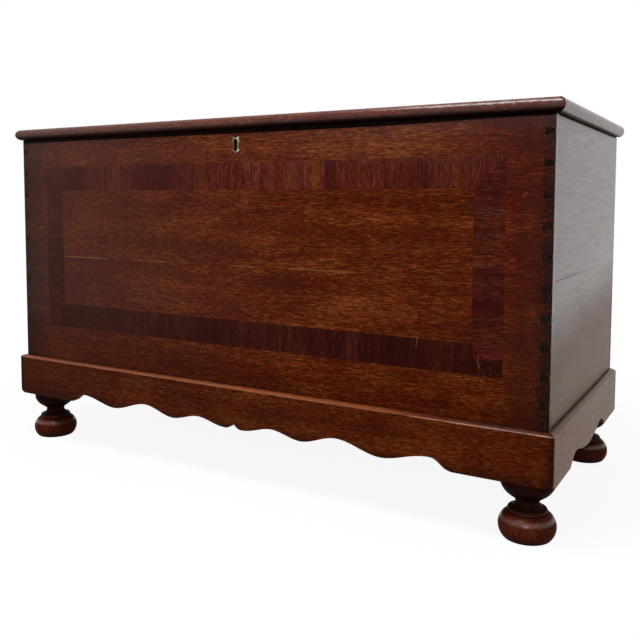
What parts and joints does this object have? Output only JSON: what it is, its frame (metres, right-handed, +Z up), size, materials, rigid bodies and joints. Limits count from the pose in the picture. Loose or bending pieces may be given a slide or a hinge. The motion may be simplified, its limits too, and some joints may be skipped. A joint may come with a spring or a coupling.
{
  "type": "blanket chest",
  "caption": "Dovetailed oak blanket chest with a crossbanded front, scalloped plinth, turned bun feet and a hinged lid with a rounded edge.",
  "frame": {"origin": "on the floor, in the middle of the chest's overall box", "axes": "+X to the right along the front as seen from the front, +Y towards the back, +Z up"},
  "size_m": [1.25, 0.5674, 0.7205],
  "materials": {
    "front_oak": "dark polished oak, glossy",
    "end_oak": "dark polished oak, worn",
    "back_oak": "plain oak, dull",
    "underside_oak": "bare oak, dull",
    "plinth_oak": "dark polished oak, glossy",
    "turned_oak": "dark polished oak, glossy",
    "crossband_mahogany": "polished mahogany",
    "lid_oak": "dark polished oak, worn at the edge",
    "iron": "dark iron",
    "hinge_brass": "dull brass",
    "escutcheon_brass": "worn polished brass",
    "lock_brass": "dull brass",
    "lock_steel": "dull steel"
  },
  "bodies": {
    "chest": {"front_board_lower": "front_oak", "front_board_upper": "front_oak", "left_end_board_lower": "end_oak", "left_end_board_upper": "end_oak", "right_end_board_lower": "end_oak", "right_end_board_upper": "end_oak", "back_board_lower": "back_oak", "back_board_upper": "back_oak", "bottom_board_front": "underside_oak", "bottom_board_middle": "underside_oak", "bottom_board_back": "underside_oak", "plinth_back_rail": "underside_oak", "plinth_glue_blocks": "underside_oak", "foot_block_front_left": "underside_oak", "foot_block_front_right": "underside_oak", "foot_block_back_left": "underside_oak", "foot_block_back_right": "underside_oak", "plinth_front": "plinth_oak", "plinth_left": "plinth_oak", "plinth_right": "plinth_oak", "foot_front_left": "turned_oak", "foot_front_right": "turned_oak", "foot_back_left": "turned_oak", "foot_back_right": "turned_oak", "crossband_top": "crossband_mahogany", "crossband_bottom": "crossband_mahogany", "crossband_left": "crossband_mahogany", "crossband_right": "crossband_mahogany", "plinth_nails": "iron", "bottom_nails": "iron", "lock_screws": "iron", "hinge_lower_screws": "iron", "hinge_lower_leaf_left": "hinge_brass", "hinge_lower_leaf_right": "hinge_brass", "hinge_pin_left": "hinge_brass", "hinge_pin_right": "hinge_brass", "escutcheon": "escutcheon_brass", "escutcheon_pins": "escutcheon_brass", "lock_case": "lock_brass", "lock_cap": "lock_brass"},
    "lid": {"lid_plank_front": "lid_oak", "lid_plank_middle": "lid_oak", "lid_plank_back": "lid_oak", "lid_front_moulding": "lid_oak", "lid_left_moulding": "lid_oak", "lid_right_moulding": "lid_oak", "hinge_upper_leaf_left": "hinge_brass", "hinge_upper_leaf_right": "hinge_brass", "hinge_upper_screws": "iron", "link_plate_screws": "iron", "link_plate": "lock_brass"},
    "lock_bolt": {"lock_bolt": "lock_steel", "bolt_spring": "lock_steel"}
  },
  "joints": [
    {"name": "lid_hinge", "type": "hinge", "parent": "chest", "child": "lid", "pos_m": [0, 0.28025, 0.69625], "axis": [-1, 0, 0], "range_deg": [0, 100]},
    {"name": "bolt_slide", "type": "slide", "parent": "chest", "child": "lock_bolt", "axis": [1, 0, 0], "range_m": [0, 0.008]}
  ]
}
